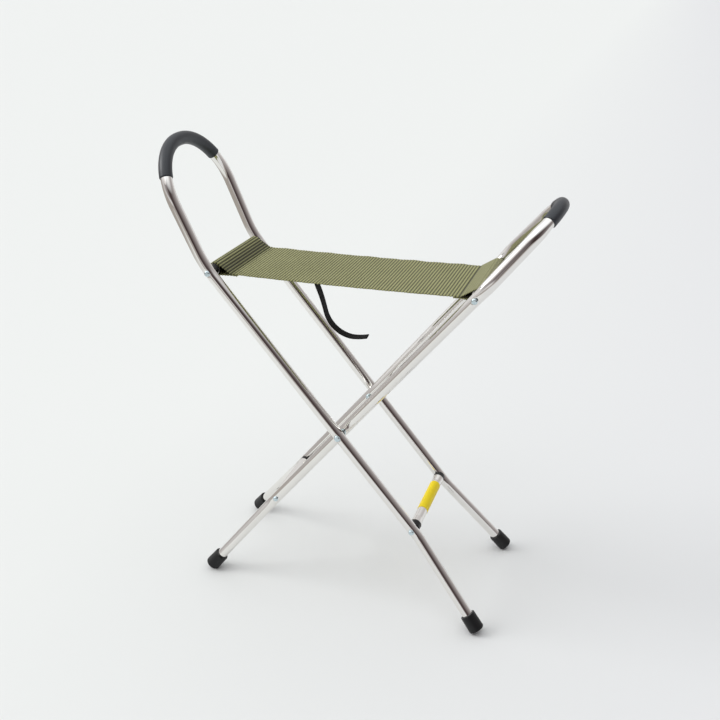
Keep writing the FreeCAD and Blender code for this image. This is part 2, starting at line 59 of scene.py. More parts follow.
TUBE_RADIUS = 0.008
FOOT_REACH = 0.3458
TUBE_FOOT = 0.3383
FOOT_FLARE = 0.0295
SPLAY_REACH = 0.190
SPLAY_BEND = 0.060
OUTER_HALF = 0.080
OUTER_ARCH_HALF = 0.085
OUTER_SIDE_REACH = 0.308
OUTER_SIDE_BEND = 0.150
OUTER_LOOP_HEIGHT = 0.1693
OUTER_ARCH_BEND = 0.080
INNER_HALF = 0.061
INNER_SEAT_HALF = 0.080
INNER_FLARE_REACH = 0.020
INNER_FLARE_BEND = 0.150
INNER_ARM_REACH = 0.319
INNER_ARM_BEND = 0.080
INNER_ARCH_HALF = 0.0459
INNER_TOP_REACH = 0.4355
INNER_ARCH_BEND = 0.061
GRIP_RADIUS = 0.0094
# Degrees of the loop's front bend and rear bend that each grip leaves bare.
GRIP_TURNS = {"outer": (29.0, 34.0), "inner": (33.0, 31.0)}
SEAT_REACH = {"outer": 0.295, "inner": 0.297}
SEAT_HALF = {"outer": OUTER_HALF, "inner": INNER_SEAT_HALF}
CROSS_REACH = {"outer": 0.176, "inner": 0.175}
LOW_HALF = {"outer": OUTER_HALF, "inner": INNER_HALF}
DIMPLE_DEPTH = 0.0007
CLOTH_FRONT = -0.0645
CLOTH_REAR = 0.070
SLEEVE_RADIUS = 0.0096
SEAM_INSET = 0.024
SEAM_DROP = {"outer": 0.0055, "inner": 0.0045}
SAG = 0.0015
STRAP_ACROSS = 0.003
STRAP_WIDTH = 0.0125
STRAP_THICKNESS = 0.0015
PATCH_LENGTH = 0.016
PATCH_WIDTH = 0.015
PATCH_THICKNESS = 0.0016
# X from the pivots, and Z from the floor.
STRAP_ROUTE = [
    (-0.0660, 0.4926),
    (-0.0616, 0.4719),
    (-0.0548, 0.4547),
    (-0.0499, 0.4376),
    (-0.0460, 0.4204),
    (-0.0356, 0.4056),
    (-0.0204, 0.3959),
    (-0.0019, 0.3927),
    (0.0164, 0.3970),
]

# How a screw's flat runs out into the tube: how far round the screw it is level, how long its run
# out is, how far past the tube's side that run is carried, and how far round the screw any of it
# reaches.
DIMPLE_FLOOR = 0.0042
DIMPLE_RUN = 0.0035
DIMPLE_CLEAR = 0.0004
DIMPLE_REACH = 0.009
# The oval part of the inner frame's tube, which the solids keep round: where it starts and ends,
# as reach up from the pivots, how long each change is, and by what shares the tube gets narrower
# and wider.
OVAL_REACH = (0.303, 0.420)
OVAL_CHANGE = (0.020, 0.015)
OVAL_NARROWER = 0.05
OVAL_WIDER = 0.12

# Sizes of the cloth and its thread. A hem runs in under the panel, and a little down.
CLOTH_THICKNESS = 0.0013
RIB_PITCH = 0.0044
RIB_HEIGHT = 0.00025
WARP_PITCH = 0.0009
SLANT_PITCH = 0.0011
HEM = np.array([0.009, -0.0002])
SEAM_WIDTH = 0.0009
SEAM_PULL = 0.00045
STITCH_PITCH = 0.0034
STITCH_LENGTH = 0.0026
STITCH_INSET = 0.002
THREAD_RADIUS = 0.0003
THREAD_SIDES = 8
# A stitch's rings: each one's place along the stitch, and its share of the thread's radius.
STITCH_RINGS = [(-0.5, 0.35), (-0.42, 0.85), (0.0, 1.0), (0.42, 0.85), (0.5, 0.35)]
# The strap's weave: rows along it and columns across it.
WEBBING_ROW = 0.0014
WEBBING_COLUMN = 0.0015
# The ribs stand higher round the outer rod and lower round the inner one: by what share, and how
# far past each seam the change takes.
SLEEVE_RIBS = 0.8
SLEEVE_CHANGE = {"outer": 0.012, "inner": 0.001}
# Waves along the cloth's edges: how far out, the length of a radian, and the radians at the
# start. The rear edge also ripples up and down, in a longer swell.
EDGE_WAVES = [(0.0003, 0.0061, 0.0), (0.0002, 0.0023, 1.0)]
RIPPLE_HEIGHT = 0.0005
RIPPLE_RUN = 0.0071
RIPPLE_START = 0.6
RIPPLE_SWELL = 0.023
# Shares of the painted shade's dark colour: along a seam's pull, in the outer sleeve's creases, in
# the fold that ends beside its seam, and over the panel toward the inner rod. The creases and fold
# face away from the light.
SEAM_SHADE = 0.9
CREASE_SHADE = 0.6
FOLD_SHADE = 0.5
FOLD_RUN = 0.010
PANEL_SHADE = 0.13
# The share of the smooth stretched look round the inner rod.
STRETCHED = 0.75
# How the strap turns about its length as it hangs: degrees, at shares of its length.
STRAP_TWIST = [(0.0, -12.0), (0.15, -10.0), (0.42, -5.0), (0.7, -8.0), (1.0, -8.0)]

# How finely things are drawn: steps in metres, and counts of points or rings.
TUBE_STEP = 0.003
DIMPLE_STEP = 0.0007
SEARCH_STEP = 0.001
TUBE_SIDES = 72
GRIP_STEP = 0.0015
GRIP_SIDES = 64
LIP_RINGS = 8
LIP_LENGTH = 0.002
SLEEVE_POINTS = 60
PANEL_POINTS = 240
CLOTH_ROWS = 1000
PATCH_ROWS = 21
STRAP_ROWS = 180
# Rows of the strap to each side over which its twist is evened out.
TWIST_EVENED = 15
# The direction, in X and Z, from which a tube's rings start: nearly square to its frame, whose
# legs and loop lean differently.
RING_START = (0.86, 0.51)


# Meshes.


def put_mesh(name, points, faces, attributes=(), smooth=True):
    """A mesh object at the origin, with named numbers or vectors on its points."""
    mesh = bpy.data.meshes.new(name)
    mesh.from_pydata(points.reshape(-1, 3).tolist(), [], faces)
    for label, values in attributes:
        values = np.ascontiguousarray(values, np.float32)
        kind = ("FLOAT_VECTOR", "vector") if values.ndim == 3 else ("FLOAT", "value")
        layer = mesh.attributes.new(label, kind[0], "POINT")
        layer.data.foreach_set(kind[1], values.ravel())
    mesh.polygons.foreach_set("use_smooth", [smooth] * len(mesh.polygons))
    mesh.update()
    piece = bpy.data.objects.new(name, mesh)
    bpy.context.scene.collection.objects.link(piece)
    return piece


def carried_faces(rows, ring):
    """Faces of a ring carried along rows: quads between rows, and one cap at each end."""
    row, spot = np.meshgrid(np.arange(rows - 1), np.arange(ring), indexing="ij")
    after = (spot + 1) % ring
    here, there = row * ring, (row + 1) * ring
    corners = [here + spot, here + after, there + after, there + spot]
    quads = np.stack(corners, -1).reshape(-1, 4).tolist()
    last = (rows - 1) * ring
    return quads + [list(range(ring))[::-1], [last + spot for spot in range(ring)]]


def carried_points(path, outward, sideways, across, out):
    """A ring carried along a path: path + across * sideways + out * outward.

    path, outward and sideways have a row for each step; across and out a row or one for all.
    """
    across, out = np.broadcast_arrays(np.atleast_2d(across), np.atleast_2d(out))
    return (
        path[:, None, :]
        + across[..., None] * sideways[:, None, :]
        + out[..., None] * outward[:, None, :]
    )


def walked(points):
    """The distance along a line of points, from its first."""
    steps = np.linalg.norm(np.diff(points, axis=0), axis=1)
    return np.concatenate([[0.0], np.cumsum(steps)])


def placed(points, places):
    """The points of a line at given distances along it."""
    along = walked(points)
    return np.stack([np.interp(places, along, values) for values in points.T], 1)


def evenly(points, count):
    """A count of points along a line, the same distance apart."""
    return placed(points, np.linspace(0, walked(points)[-1], count))


def headings(points):
    """The direction in which a line of points runs, at each of them."""
    step = np.gradient(points, axis=0)
    return step / np.linalg.norm(step, axis=1)[:, None]


def rounded_strip(width, thickness, across_count, edge_count):
    """A ring round a flat strip's section: two faces of across_count points, half-round edges."""
    half = width / 2 - thickness / 2
    face = np.linspace(-half, half, across_count)
    turn = np.linspace(-math.pi / 2, math.pi / 2, edge_count + 2)[1:-1]
    top = np.stack([face[::-1], np.full(across_count, thickness / 2)], 1)
    bottom = np.stack([face, np.full(across_count, -thickness / 2)], 1)
    low = np.stack([-half - np.cos(turn) * thickness / 2, -np.sin(turn) * thickness / 2], 1)
    high = np.stack([half + np.cos(turn) * thickness / 2, np.sin(turn) * thickness / 2], 1)
    return np.concatenate([bottom, high, top, low])


def smooth_step(value):
    """From 0 at 0 to 1 at 1, level at both, and held beyond."""
    value = np.clip(value, 0, 1)
    return value * value * (3 - 2 * value)


# Finishes.


def paint(code):
    """A colour written as sRGB hex, turned to linear red, green, blue and 1."""
    parts = np.array([int(code[place:place + 2], 16) for place in (0, 2, 4)]) / 255
    linear = np.where(parts <= 0.04045, parts / 12.92, ((parts + 0.055) / 1.055) ** 2.4)
    return (*linear.tolist(), 1.0)


def add(tree, kind, inputs=None, **settings):
    """One node with its settings, and its inputs given as numbers or as other nodes' outputs."""
    node = tree.nodes.new(kind)
    for setting, value in settings.items():
        setattr(node, setting, value)
    for socket, value in (inputs or {}).items():
        if isinstance(value, bpy.types.NodeSocket):
            tree.links.new(value, node.inputs[socket])
        else:
            node.inputs[socket].default_value = value
    return node


def sums(tree, operation, *values):
    """One step of arithmetic on numbers or other nodes' outputs."""
    return add(tree, "ShaderNodeMath", dict(enumerate(values)), operation=operation).outputs[0]


def new_finish(name, **numbers):
    """A material with one Principled shader. Its sockets in numbers are the same all over."""
    material = bpy.data.materials.new(name)
    material.use_nodes = True
    tree = material.node_tree
    shader = tree.nodes["Principled BSDF"]
    for socket, value in numbers.items():
        shader.inputs[socket.replace("_", " ")].default_value = value
    where = add(tree, "ShaderNodeTexCoord").outputs["Object"]
    return material, tree, shader, where


def blend_colours(tree, factor, low, high):
    """Low where factor is 0 and high where it is 1."""
    mix = add(tree, "ShaderNodeMix", data_type="RGBA")
    for place, value in ((0, factor), (6, low), (7, high)):
        if isinstance(value, bpy.types.NodeSocket):
            tree.links.new(value, mix.inputs[place])
        else:
            mix.inputs[place].default_value = value
    return mix.outputs[2]


def spread(tree, value, low, high, start=0.0, end=1.0):
    """A value from start to end spread from low to high, and held there beyond."""
    inputs = {"Value": value, "From Min": start, "From Max": end, "To Min": low, "To Max": high}
    return add(tree, "ShaderNodeMapRange", inputs).outputs["Result"]


def noise(tree, where, size, detail=3.0):
    """Cloudy noise from 0 to 1 whose blots are about a size across."""
    inputs = {"Vector": where, "Scale": 1 / size, "Detail": detail}
    return add(tree, "ShaderNodeTexNoise", inputs).outputs["Fac"]


def wave(tree, value, pitch):
    """A cosine from 0 to 1 that repeats each pitch."""
    turns = sums(tree, "MULTIPLY", value, 2 * math.pi / pitch)
    return sums(tree, "MULTIPLY_ADD", sums(tree, "COSINE", turns), 0.5, 0.5)


def attribute(tree, name, output="Fac"):
    """What a mesh's attribute says: a number, or with output "Vector" three of them."""
    return add(tree, "ShaderNodeAttribute", attribute_name=name).outputs[output]


def bumped(tree, shader, height, distance, strength):
    """Relief in the shading, distance deep where height is 1."""
    inputs = {"Height": height, "Strength": strength, "Distance": distance}
    normal = add(tree, "ShaderNodeBump", inputs).outputs["Normal"]
    tree.links.new(normal, shader.inputs["Normal"])


def polished_tube(name, where_from):
    """Drawn 6063 aluminium, belt polished: a mirror with faint lines 0.6 mm wide and 60 mm long.

    where_from is "tube" where the attribute tube_place runs along the tube, or else the tube lies
    along Y.
    """
    material, tree, shader, where = new_finish(name, Metallic=1.0)
    place = attribute(tree, "tube_place", "Vector") if where_from == "tube" else where
    shrink = (1.0, 1.0, 0.01) if where_from == "tube" else (1.0, 0.01, 1.0)
    along = add(tree, "ShaderNodeVectorMath", {0: place, 1: shrink}, operation="MULTIPLY")
    lines = noise(tree, along.outputs[0], 0.0006, 2.0)
    cloud = noise(tree, where, 0.03)
    colour = blend_colours(tree, cloud, paint("E8E6E2"), paint("F1EFEC"))
    tree.links.new(colour, shader.inputs["Base Color"])
    rough = sums(tree, "MULTIPLY_ADD", lines, 0.04, spread(tree, cloud, 0.03, 0.06))
    tree.links.new(rough, shader.inputs["Roughness"])
    bumped(tree, shader, lines, 0.00002, 0.12)
    return material


def zinc_plate():
    """Bright zinc plated steel, barrel plated and blue passivated: cool and a little uneven."""
    material, tree, shader, where = new_finish("blue_passivated_zinc", Metallic=1.0)
    cloud = noise(tree, where, 0.0014)
    colour = blend_colours(tree, cloud, paint("B4C6CE"), paint("DCE9EC"))
    tree.links.new(colour, shader.inputs["Base Color"])
    tree.links.new(spread(tree, cloud, 0.2, 0.36), shader.inputs["Roughness"])
    bumped(tree, shader, noise(tree, where, 0.0004), 0.00002, 0.5)
    return material


def moulded(name, dark, light, rough, pebble, depth, specular):
    """A moulded skin: two near colours, and the mould's grain, pebble across and depth deep."""
    material, tree, shader, where = new_finish(name, Specular_IOR_Level=specular)
    cloud = noise(tree, where, 0.011, 4.0)
    colour = blend_colours(tree, cloud, paint(dark), paint(light))
    tree.links.new(colour, shader.inputs["Base Color"])
    tree.links.new(spread(tree, cloud, rough - 0.05, rough + 0.05), shader.inputs["Roughness"])
    bumped(tree, shader, noise(tree, where, pebble, 2.0), depth, 0.5)
    return material


def ribbed_cloth():
    """Woven polyester rep: thick cross cords with fine warp threads over them.

    The cords are 4.4 mm apart, and the valleys between them are painted shade. The warp threads
    are 0.5 mm apart in the real cloth and drawn 0.9 mm apart, to show. The attribute painted_shade
    rises to 1 where painted shade darkens the cloth: along the seams' pull, in the outer sleeve's
    creases and fold, and over the panel toward the inner rod. plain is high where the cloth is pulled
    smooth round the inner rod.
    """
    material, tree, shader, where = new_finish("olive_ribbed_polyester", Roughness=0.85)
    along, across = attribute(tree, "along"), attribute(tree, "across")
    ridge = wave(tree, along, RIB_PITCH)
    thread = wave(tree, across, WARP_PITCH)
    cloud = noise(tree, where, 0.03, 5.0)
    fluff = noise(tree, where, 0.0015, 3.0)
    crest = blend_colours(tree, cloud, paint("9E9E69"), paint("AFAF79"))
    # The valleys between the cords get a darker colour: painted shade.
    valley_with_painted_shade = blend_colours(tree, cloud, paint("47472A"), paint("525232"))
    slant = wave(tree, sums(tree, "ADD", along, across), SLANT_PITCH)
    ribs = blend_colours(tree, spread(tree, ridge, 0.0, 1.0, 0.05, 0.8), valley_with_painted_shade, crest)
    stretched = blend_colours(tree, slant, paint("7A7A53"), paint("92916A"))
    ribs = blend_colours(tree, attribute(tree, "plain"), ribs, stretched)
    # Painted shade darkens the cloth toward 33331F where the attribute painted_shade is high.
    seam = blend_colours(tree, attribute(tree, "painted_shade"), ribs, paint("33331F"))
    woven, fuzzy = spread(tree, thread, 0.84, 1.0), spread(tree, fluff, 0.68, 1.24)
    shade = sums(tree, "MULTIPLY", woven, fuzzy)
    tint = add(tree, "ShaderNodeVectorMath", {0: seam, 3: shade}, operation="SCALE").outputs[0]
    tree.links.new(tint, shader.inputs["Base Color"])
    bumped(tree, shader, sums(tree, "ADD", thread, fluff), 0.00015, 0.6)
    shader.inputs["Sheen Weight"].default_value = 0.12
    shader.inputs["Sheen Roughness"].default_value = 0.4
    return material


def plain_webbing():
    """Black polypropylene webbing, plain weave: rows 1.4 mm apart and columns 1.5 mm apart."""
    material, tree, shader, _ = new_finish(
        "black_polypropylene_webbing", Roughness=0.7, Specular_IOR_Level=0.3
    )
    row = wave(tree, attribute(tree, "along"), WEBBING_ROW)
    column = wave(tree, attribute(tree, "across"), WEBBING_COLUMN)
    row, column = (sums(tree, "MULTIPLY_ADD", value, 2.0, -1.0) for value in (row, column))
    level = sums(tree, "MULTIPLY_ADD", sums(tree, "MULTIPLY", row, column), 0.5, 0.5)
    colour = blend_colours(tree, level, paint("050506"), paint("0D0D0F"))
    tree.links.new(colour, shader.inputs["Base Color"])
    bumped(tree, shader, level, 0.0003, 0.6)
    return material


def sewing_thread():
    """Twisted olive polyester thread, darker than the cloth."""
    material, tree, shader, where = new_finish("dark_olive_thread", Roughness=0.6)
    twist = noise(tree, where, 0.0004)
    colour = blend_colours(tree, twist, paint("45452B"), paint("626244"))
    tree.links.new(colour, shader.inputs["Base Color"])
    return material


def bare_film():
    """Plain yellow vinyl film, with faint rubbed marks."""
    material, tree, shader, where = new_finish("yellow_vinyl_film", Specular_IOR_Level=0.25)
    cloud = noise(tree, where, 0.008, 4.0)
    colour = blend_colours(tree, cloud, paint("EBCF00"), paint("F5DD05"))
    tree.links.new(colour, shader.inputs["Base Color"])
    tree.links.new(spread(tree, cloud, 0.28, 0.42), shader.inputs["Roughness"])
    bumped(tree, shader, noise(tree, where, 0.002), 0.00003, 0.4)
    return material


TUBE = polished_tube("polished_aluminium_bent_tube", "tube")
VINYL = moulded(
    "slate_dipped_vinyl", "131921", "1A212A",
    rough=0.42, pebble=0.0012, depth=0.00012, specular=0.65,
)
RUBBER = moulded(
    "black_moulded_rubber", "0A0A0B", "121214",
    rough=0.42, pebble=0.0009, depth=0.0001, specular=0.35,
)
NYLON = moulded(
    "black_moulded_nylon", "070708", "0D0D0E",
    rough=0.38, pebble=0.0008, depth=0.00008, specular=0.3,
)
FINISHES = {
    "polished_aluminium": polished_tube("polished_aluminium_cross_tube", "object"),
    "zinc_steel": zinc_plate(),
    "plain_steel": zinc_plate(),
    "grey_vinyl": VINYL,
    "black_rubber": RUBBER,
    "black_plastic": NYLON,
    "yellow_film": bare_film(),
}
CLOTH = ribbed_cloth()
WEBBING = plain_webbing()
THREAD = sewing_thread()

for entry in frame["record"]["subparts"]:
    finish = FINISHES.get(entry["material_slot"])
    if finish:
        node = frame["nodes"][entry["node"]]
        node.data.materials.clear()
        node.data.materials.append(finish)


# The two bent tubes and their grips.


def leg_point(side, reach, across):
    """A point in a frame's own plane: reach up the legs from the pivot, across from the middle."""
    lean = LEAN[side] * reach * math.sin(LEG_TILT)
    return PIVOT + np.array([lean, across, reach * math.cos(LEG_TILT)])


def tube_corners(side, hand):
    """The corners of one leg, foot first, each with the radius of its bend."""
    half = LOW_HALF[side]
    flare = FOOT_FLARE * (TUBE_FOOT - SPLAY_REACH) / (FOOT_REACH - SPLAY_REACH)
    low = [
        (leg_point(side, -TUBE_FOOT, hand * (half + flare)), 0),
        (leg_point(side, -SPLAY_REACH, hand * half), SPLAY_BEND),
    ]
    if side == "outer":
        bend = leg_point(side, OUTER_SIDE_REACH, 0)
        rise = OUTER_LOOP_HEIGHT * np.array([-math.sin(LOOP_TILT), 0, math.cos(LOOP_TILT)])
        arch = bend + rise + [0, hand * OUTER_ARCH_HALF, 0]
        return low + [(bend + [0, hand * half, 0], OUTER_SIDE_BEND), (arch, OUTER_ARCH_BEND)]
    slope = (INNER_SEAT_HALF - half) / (SEAT_REACH["inner"] - INNER_FLARE_REACH)
    wide = half + slope * (INNER_ARM_REACH - INNER_FLARE_REACH)
    return low + [
        (leg_point(side, INNER_FLARE_REACH, hand * half), INNER_FLARE_BEND),
        (leg_point(side, INNER_ARM_REACH, hand * wide), INNER_ARM_BEND),
        (leg_point(side, INNER_TOP_REACH, hand * INNER_ARCH_HALF), INNER_ARCH_BEND),
    ]


def unit(vector):
    """A vector's direction."""
    return vector / np.linalg.norm(vector)


def bend_arc(before, corner, after, radius):
    """Points round a corner, half a degree apart: an arc that touches both straight runs."""
    back, ahead = unit(before - corner), unit(after - corner)
    turn = math.pi - math.acos(float(back @ ahead))
    inward = unit(back + ahead)
    centre = corner + inward * radius / math.cos(turn / 2)
    start = corner + back * radius * math.tan(turn / 2) - centre
    side = -back * radius
    angle = np.linspace(0, turn, max(8, round(math.degrees(turn) * 2)))[:, None]
    return centre + start * np.cos(angle) + side * np.sin(angle)


def bent_line(corners):
    """A bent tube's middle, and where each bend begins and ends along it."""
    line = [corners[0][0][None]]
    spans = []
    for (before, _), (corner, radius), (after, _) in zip(corners, corners[1:], corners[2:]):
        arc = bend_arc(before, corner, after, radius)
        start = sum(len(run) for run in line)
        spans.append((start, start + len(arc) - 1))
        line.append(arc)
    line.append(corners[-1][0][None])
    line = np.concatenate(line)
    along = walked(line)
    return line, [(along[first], along[last]) for first, last in spans]


def round_bar(side, line, places, radius, sides):
    """A round bar along a line: its points, and each point's place round and along the bar.

    Every ring starts from one direction nearly square to the frame, so the bar doesn't twist.
    """
    path = placed(line, places)
    ahead = headings(path)
    square = np.array([RING_START[0], 0.0, -LEAN[side] * RING_START[1]])
    outward = square - (ahead @ square)[:, None] * ahead
    outward /= np.linalg.norm(outward, axis=1)[:, None]
    sideways = np.cross(ahead, outward)
    angle = np.linspace(0, 2 * math.pi, sides, endpoint=False)
    radius = np.broadcast_to(radius, len(path))[:, None]
    out, across = radius * np.cos(angle), radius * np.sin(angle)
    points = carried_points(path, outward, sideways, across, out)
    place = np.stack([out, across, np.broadcast_to(places[:, None], out.shape)], -1)
    return points, place


def dented(points, centre, half, inward):
    """Flats pressed into both legs under a row of screw heads: outside, or inside where inward.

    Past the head each flat runs out into the round tube.
    """
    away = np.hypot(points[..., 0] - centre[0], points[..., 2] - centre[2])
    clear = DIMPLE_DEPTH + DIMPLE_CLEAR
    ease = clear * smooth_step((away - DIMPLE_FLOOR) / DIMPLE_RUN)
    reach = TUBE_RADIUS - DIMPLE_DEPTH + ease
    hand = np.sign(points[..., 1])
    across = np.abs(points[..., 1])
    limited = np.maximum(across, half - reach) if inward else np.minimum(across, half + reach)
    points[..., 1] = np.where(away < DIMPLE_REACH, hand * limited, points[..., 1])


def ovalled(points, path):
    """The inner frame's tube, which its bends leave wider across the frame's plane over the seat.

    Narrower in the frame's plane and wider across it, with a smooth change at both ends.
    """
    up = leg_point("inner", 1.0, 0) - PIVOT
    square = np.array([up[2], 0.0, -up[0]])
    reach = (path - PIVOT) @ up
    starts = smooth_step((reach - OVAL_REACH[0]) / OVAL_CHANGE[0])
    oval = starts * smooth_step((OVAL_REACH[1] - reach) / OVAL_CHANGE[1])
    away = points - path[:, None]
    out = (away @ square)[..., None] * square
    oval = oval[:, None, None]
    narrowed = (away - out) * (1 - OVAL_NARROWER * oval)
    return path[:, None] + narrowed + out * (1 + OVAL_WIDER * oval)


def frame_tube(side):
    """The bent tube, with more rings where the screws' flats are. Returns its line and bends."""
    corners = tube_corners(side, -1) + tube_corners(side, 1)[::-1]
    line, spans = bent_line(corners)
    rows = [
        (leg_point(side, SEAT_REACH[side], 0), SEAT_HALF[side], False),
        (leg_point(side, -CROSS_REACH[side], 0), LOW_HALF[side], False),
        (leg_point(side, 0, 0), LOW_HALF[side], side == "inner"),
    ]
    along = walked(line)
    places = [np.arange(0, along[-1], TUBE_STEP), [along[-1]]]
    run = placed(line, np.arange(0, along[-1], SEARCH_STEP))
    for centre, half, _ in rows:
        for hand in (-1, 1):
            away = np.linalg.norm(run - centre - [0, hand * half, 0], axis=1)
            nearest = away.argmin() * SEARCH_STEP
            places.append(nearest + np.arange(-DIMPLE_REACH, DIMPLE_REACH, DIMPLE_STEP))
    places = np.unique(np.concatenate(places).round(5))
    points, place = round_bar(side, line, places, TUBE_RADIUS, TUBE_SIDES)
    if side == "inner":
        points = ovalled(points, placed(line, places))
    for centre, half, inward in rows:
        dented(points, centre, half, inward)
    faces = carried_faces(*points.shape[:2])
    piece = put_mesh(f"{side}_bent_tube", points, faces, [("tube_place", place)])
    piece.data.materials.append(TUBE)
    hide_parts(f"{side}_frame_tube")
    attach(piece, side)
    return line, spans


def grip(side, line, spans):
    """A dipped vinyl sleeve round the loop's bend, its ends rolled in on the tube."""
    middle = len(spans) // 2
    bend = {"outer": OUTER_ARCH_BEND, "inner": INNER_ARCH_BEND}[side]
    front, rear = (math.radians(turn) * bend for turn in GRIP_TURNS[side])
    start, end = spans[middle - 1][0] + front, spans[middle][1] - rear
    turn = np.linspace(0, math.pi / 2, LIP_RINGS)
    edge = (GRIP_RADIUS - TUBE_RADIUS) * (1 - np.cos(turn))
    between = np.arange(start + LIP_LENGTH, end - LIP_LENGTH, GRIP_STEP)
    places = np.concatenate([start + edge, between, end - edge[::-1]])
    rise = np.ones(len(places))
    rise[:LIP_RINGS] = np.sin(turn)
    rise[-LIP_RINGS:] = np.sin(turn)[::-1]
    radius = TUBE_RADIUS + (GRIP_RADIUS - TUBE_RADIUS) * rise
    points, _ = round_bar(side, line, places, radius, GRIP_SIDES)
    piece = put_mesh(f"{side}_vinyl_grip", points, carried_faces(*points.shape[:2]))
    piece.data.materials.append(VINYL)
    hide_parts(f"{side}_grip")
    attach(piece, side)


for side in LEAN:
    grip(side, *frame_tube(side))


# The cloth sling.


def rod_centre(side):
    """The middle of a seat rod, in X and Z."""
    return leg_point(side, SEAT_REACH[side], 0)[[0, 2]]


def seam_place(side):
    """Where a sleeve is sewn shut, in X and Z."""
    return rod_centre(side) + np.array([-LEAN[side] * SEAM_INSET, -SEAM_DROP[side]])


def sleeve_loop(side):
    """Round a rod, from over it to under it, between the lines that touch it from the seam."""
    radius = SLEEVE_RADIUS - CLOTH_THICKNESS / 2
    centre = rod_centre(side)
    away = seam_place(side) - centre
    half = math.acos(radius / np.linalg.norm(away))
    toward = math.atan2(away[1], away[0])
    turn = np.linspace(half, 2 * math.pi - half, SLEEVE_POINTS)
    angle = toward - LEAN[side] * turn
    return centre + radius * np.stack([np.cos(angle), np.sin(angle)], 1)


def panel_line(share):
    """The panel's middle layer between the seams, a parabola that drops by the sag."""
    left, right = seam_place("outer"), seam_place("inner")
    share = np.atleast_1d(share)[:, None]
    return left + (right - left) * share - np.array([0, 4 * SAG]) * share * (1 - share)


def sling_profile():
    """The cloth's middle in X and Z: hem, round the outer rod, across, round the inner, hem."""
    under = np.array([0.0, -CLOTH_THICKNESS - 2 * RIB_HEIGHT])
    left, right = seam_place("outer"), seam_place("inner")
    return np.concatenate([
        [left + under + HEM],
        [left + under],
        sleeve_loop("outer")[::-1],
        panel_line(np.linspace(0, 1, PANEL_POINTS)),
        sleeve_loop("inner"),
        [right + under],
        [right + under + HEM * [-1, 1]],
    ])


def lying_strip(line, y):
    """A line in X and Z at one Y: its points, and the directions up out of it and across it."""
    step = headings(line)
    spine = np.stack([line[:, 0], np.full(len(line), y), line[:, 1]], 1)
    outward = np.stack([-step[:, 1], np.zeros(len(line)), step[:, 0]], 1)
    return spine, outward, np.tile([0.0, 1.0, 0.0], (len(line), 1))


def strip_places(along, ring):
    """The attributes along and across of a flat strip: the distances that its weave follows."""
    shape = (len(along), len(ring))
    return [
        ("along", np.broadcast_to(along[:, None], shape)),
        ("across", np.broadcast_to(ring[:, 0], shape)),
    ]


def sling():
    """The cloth: a strip's section carried along the profile, with a rib every 4.4 mm.

    Its edges wander by half a millimetre, its seams are drawn in by the thread, and the ribs stand
    higher where it turns round the outer rod and lower where it is stretched round the inner one.
    """
    path = evenly(sling_profile(), CLOTH_ROWS)
    along = walked(path)
    spine, outward, sideways = lying_strip(path, (CLOTH_FRONT + CLOTH_REAR) / 2)
    width = CLOTH_REAR - CLOTH_FRONT
    ring = rounded_strip(width, CLOTH_THICKNESS, across_count=28, edge_count=3)
    shape = (len(path), len(ring))
    seams = [along[np.linalg.norm(path - seam_place(side), axis=1).argmin()] for side in LEAN]
    sewn = sum(np.exp(-(((along - seam) / SEAM_WIDTH) ** 2)) for seam in seams)
    past_seam = along - seams[0]
    outer_turn = 1 - smooth_step(past_seam / SLEEVE_CHANGE["outer"])
    inner_turn = smooth_step((along - seams[1]) / SLEEVE_CHANGE["inner"])
    # The ribs and the seams, on both faces.
    height = RIB_HEIGHT * (1 + SLEEVE_RIBS * outer_turn - SLEEVE_RIBS * inner_turn)
    rib = height * np.cos(2 * math.pi * along / RIB_PITCH) - SEAM_PULL * sewn
    out = ring[:, 1] + rib[:, None] * np.sign(ring[:, 1])
    # The edges.
    wander = sum(size * np.sin(along / run + start) for size, run, start in EDGE_WAVES)
    share = ring[:, 0] / width * 2
    across = ring[:, 0] + wander[:, None] * share
    ripple = np.sin(along / RIPPLE_RUN + RIPPLE_START) * np.sin(along / RIPPLE_SWELL)
    ripple = (1 - outer_turn - inner_turn) * ripple
    out = out + RIPPLE_HEIGHT * ripple[:, None] * np.clip(share, 0, 1) ** 3
    points = carried_points(spine, outward, sideways, across, out)
    # The painted shade: along the seams' pull, in the outer sleeve's creases and fold, and over the panel.
    crease = (1 - np.cos(2 * math.pi * along / RIB_PITCH)) / 2
    fold = FOLD_SHADE * outer_turn * np.exp(-((past_seam / FOLD_RUN + 1) ** 2))
    panel = smooth_step(past_seam / (seams[1] - seams[0])) * (1 - inner_turn)
    shade = SEAM_SHADE * sewn + CREASE_SHADE * outer_turn * crease + fold + PANEL_SHADE * panel
    attributes = strip_places(along, ring) + [
        ("painted_shade", np.broadcast_to(np.clip(shade, 0, 1)[:, None], shape)),
        ("plain", np.broadcast_to(STRETCHED * inner_turn[:, None], shape)),
    ]
    piece = put_mesh("cloth_sling", points, carried_faces(*shape), attributes)
    return piece, along[-1]


cloth, cloth_length = sling()
cloth.data.materials.append(CLOTH)
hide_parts("seat_panel", "outer_seat_sleeve", "inner_seat_sleeve")


def stitch_row(start, end):
    """Short rounded threads from start to end, a stitch each 3.4 mm."""
    length = np.linalg.norm(end - start)
    ahead = (end - start) / length
    up = unit(np.cross(ahead, np.cross([0.0, 0.0, 1.0], ahead)))
    side = np.cross(ahead, up)
    count = int(length / STITCH_PITCH)
    turn = np.linspace(0, 2 * math.pi, THREAD_SIDES, endpoint=False)
    circle = np.outer(np.cos(turn), side) + np.outer(np.sin(turn), up)
    one = carried_faces(len(STITCH_RINGS), THREAD_SIDES)
    points, faces = [], []
    for index in range(count):
        middle = start + ahead * (index + 0.5) * length / count
        base = THREAD_SIDES * len(points)
        faces += [[base + corner for corner in face] for face in one]
        for place, swell in STITCH_RINGS:
            ring = middle + ahead * STITCH_LENGTH * place + THREAD_RADIUS * swell * circle
            points.append(ring)
    return np.concatenate(points), faces


